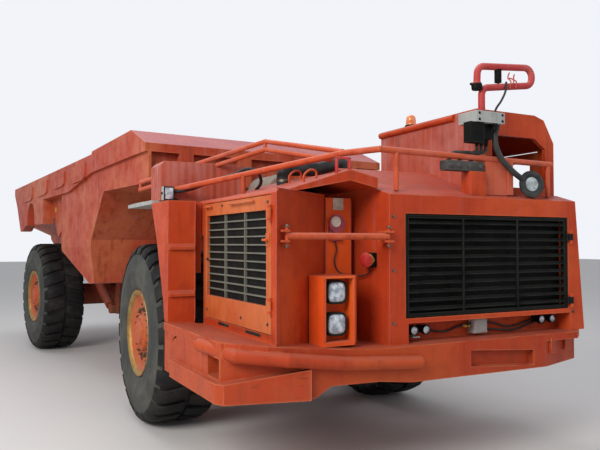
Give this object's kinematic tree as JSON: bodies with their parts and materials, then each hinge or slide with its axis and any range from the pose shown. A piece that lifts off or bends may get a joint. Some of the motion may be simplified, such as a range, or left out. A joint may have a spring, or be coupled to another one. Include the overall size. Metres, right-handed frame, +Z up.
{
  "type": "articulated off-highway dump truck",
  "caption": "Low-profile articulated mine haul truck: louvred power unit with side cab, steering pivot, rear frame and hydraulically tipped dump bed on large earthmover tyres.",
  "frame": {"origin": "centre of the bounding box on the ground, standing as parked with the rear body turned 6.5 degrees at the steering pivot", "axes": "+Y towards the dump bed's tail, -Y towards the radiator, +X to the truck's left, +Z up"},
  "size_m": [3.9244, 10.0432, 3.285],
  "materials": {
    "beacon_amber": "amber lens",
    "black_rubber": "matt black rubber",
    "black_steel": "matt black with dust",
    "engine_iron": "oily cast iron",
    "grey_paint": "worn light grey enamel",
    "lamp_glass": "clear lens over a bright reflector",
    "orange_paint": "worn semi-gloss orange-red enamel, faded on top, dusty below",
    "red_paint": "worn red enamel",
    "rod_chrome": "hard chrome",
    "seat_vinyl": "black vinyl",
    "tyre_rubber": "worn, dusty tread and sidewall"
  },
  "bodies": {
    "root": {"beacon": "beacon_amber", "bumper": "orange_paint", "cab_shell": "orange_paint", "engine": "engine_iron", "fender_left": "orange_paint", "fender_right": "orange_paint", "front_axle": "orange_paint", "front_frame": "orange_paint", "guard_rail": "orange_paint", "headlamps": "lamp_glass", "hood": "orange_paint", "intake_elbow": "black_rubber", "lamp_box": "orange_paint", "left_body": "orange_paint", "mirror": "black_rubber", "nose": "orange_paint", "pipe_box": "grey_paint", "radiator": "black_steel", "raised_box": "orange_paint", "return_pipe": "red_paint", "seat": "seat_vinyl", "side_box": "orange_paint", "step": "grey_paint", "work_lamp": "grey_paint"},
    "wheel_front_right": {"tyre_front_right": "tyre_rubber", "rim_front_right": "orange_paint"},
    "wheel_front_left": {"tyre_front_left": "tyre_rubber", "rim_front_left": "orange_paint"},
    "wheel_rear_right": {"tyre_rear_right": "tyre_rubber", "rim_rear_right": "orange_paint"},
    "wheel_rear_left": {"tyre_rear_left": "tyre_rubber", "rim_rear_left": "orange_paint"},
    "bed_body": {"bed": "orange_paint"},
    "steer_right_barrel": {"steer_right_barrel": "orange_paint"},
    "steer_right_rod": {"steer_right_rod": "rod_chrome"},
    "steer_left_barrel": {"steer_left_barrel": "orange_paint"},
    "steer_left_rod": {"steer_left_rod": "rod_chrome"},
    "dump_right_barrel": {"dump_right_barrel": "orange_paint"},
    "dump_right_rod": {"dump_right_rod": "rod_chrome"},
    "dump_left_barrel": {"dump_left_barrel": "orange_paint"},
    "dump_left_rod": {"dump_left_rod": "rod_chrome"},
    "side_door": {"side_door": "orange_paint", "side_door_grille": "black_steel"},
    "front_grille": {"front_grille": "black_steel"},
    "cab_door": {"cab_door": "orange_paint"},
    "rear_body": {"rear_frame": "orange_paint", "rear_axle": "orange_paint"}
  },
  "joints": [
    {"name": "roll_front_right", "type": "hinge", "parent": "root", "child": "wheel_front_right", "pos_m": [-1.05033, -2.35756, 0.875], "axis": [1, 0, 0], "continuous": true},
    {"name": "roll_front_left", "type": "hinge", "parent": "root", "child": "wheel_front_left", "pos_m": [1.48967, -2.35756, 0.875], "axis": [1, 0, 0], "continuous": true},
    {"name": "roll_rear_right", "type": "hinge", "parent": "rear_body", "child": "wheel_rear_right", "pos_m": [-1.46668, 3.02457, 0.875], "axis": [0.9936, 0.1132, 0], "continuous": true},
    {"name": "roll_rear_left", "type": "hinge", "parent": "rear_body", "child": "wheel_rear_left", "pos_m": [1.05699, 3.3121, 0.875], "axis": [0.9936, 0.1132, 0], "continuous": true},
    {"name": "steer", "type": "hinge", "parent": "root", "child": "rear_body", "pos_m": [0.21967, -0.55756, 0.95], "axis": [0, 0, 1], "range_deg": [-48.5, 35.5]},
    {"name": "dump", "type": "hinge", "parent": "rear_body", "child": "bed_body", "pos_m": [-0.30333, 4.03274, 1.25], "axis": [-0.9936, -0.1132, 0], "range_deg": [0, 55]},
    {"name": "steer_right_swing", "type": "hinge", "parent": "root", "child": "steer_right_barrel", "pos_m": [-0.30033, -1.50756, 0.93], "axis": [0, 0, 1], "range_deg": [-8.68, 6.49]},
    {"name": "steer_right_stroke", "type": "slide", "parent": "steer_right_barrel", "child": "steer_right_rod", "axis": [0.0913, 0.9958, 0], "range_m": [-0.2436, 0.3321]},
    {"name": "steer_left_swing", "type": "hinge", "parent": "root", "child": "steer_left_barrel", "pos_m": [0.73967, -1.50756, 0.93], "axis": [0, 0, 1], "range_deg": [-8.68, 6.49]},
    {"name": "steer_left_stroke", "type": "slide", "parent": "steer_left_barrel", "child": "steer_left_rod", "axis": [-0.1355, 0.9908, 0], "range_m": [-0.3321, 0.2436]},
    {"name": "dump_right_swing", "type": "hinge", "parent": "rear_body", "child": "dump_right_barrel", "pos_m": [-0.74186, 1.69809, 0.72], "axis": [0.9936, 0.1132, 0], "range_deg": [-0.5, 12]},
    {"name": "dump_right_stroke", "type": "slide", "parent": "dump_right_barrel", "child": "dump_right_rod", "axis": [-0.0996, 0.8742, 0.4753], "range_m": [-0.002, 0.9239]},
    {"name": "dump_left_swing", "type": "hinge", "parent": "rear_body", "child": "dump_left_barrel", "pos_m": [0.64914, 1.85658, 0.72], "axis": [0.9936, 0.1132, 0], "range_deg": [-0.5, 12]},
    {"name": "dump_left_stroke", "type": "slide", "parent": "dump_left_barrel", "child": "dump_left_rod", "axis": [-0.0996, 0.8742, 0.4753], "range_m": [-0.002, 0.9239]},
    {"name": "side_door_swing", "type": "hinge", "parent": "root", "child": "side_door", "pos_m": [-1.08233, -4.84156, 1.6], "axis": [0, 0, 1], "range_deg": [0, 110]},
    {"name": "front_grille_swing", "type": "hinge", "parent": "root", "child": "front_grille", "pos_m": [1.78567, -4.87556, 1.6], "axis": [0, 0, 1], "range_deg": [0, 100]},
    {"name": "cab_door_swing", "type": "hinge", "parent": "root", "child": "cab_door", "pos_m": [1.84667, -4.50956, 1.9], "axis": [0, 0, 1], "range_deg": [-95, 0]}
  ],
  "couplings": [
    {"joint": "steer_right_swing", "follows": "steer", "ratio": 0.16874},
    {"joint": "steer_right_stroke", "follows": "steer", "m_per_rad": -0.38993},
    {"joint": "steer_left_swing", "follows": "steer", "ratio": 0.16874},
    {"joint": "steer_left_stroke", "follows": "steer", "m_per_rad": 0.38993},
    {"joint": "dump_right_swing", "follows": "dump", "ratio": 0.20914},
    {"joint": "dump_right_stroke", "follows": "dump", "m_per_rad": 0.96043},
    {"joint": "dump_left_swing", "follows": "dump", "ratio": 0.20914},
    {"joint": "dump_left_stroke", "follows": "dump", "m_per_rad": 0.96043}
  ]
}
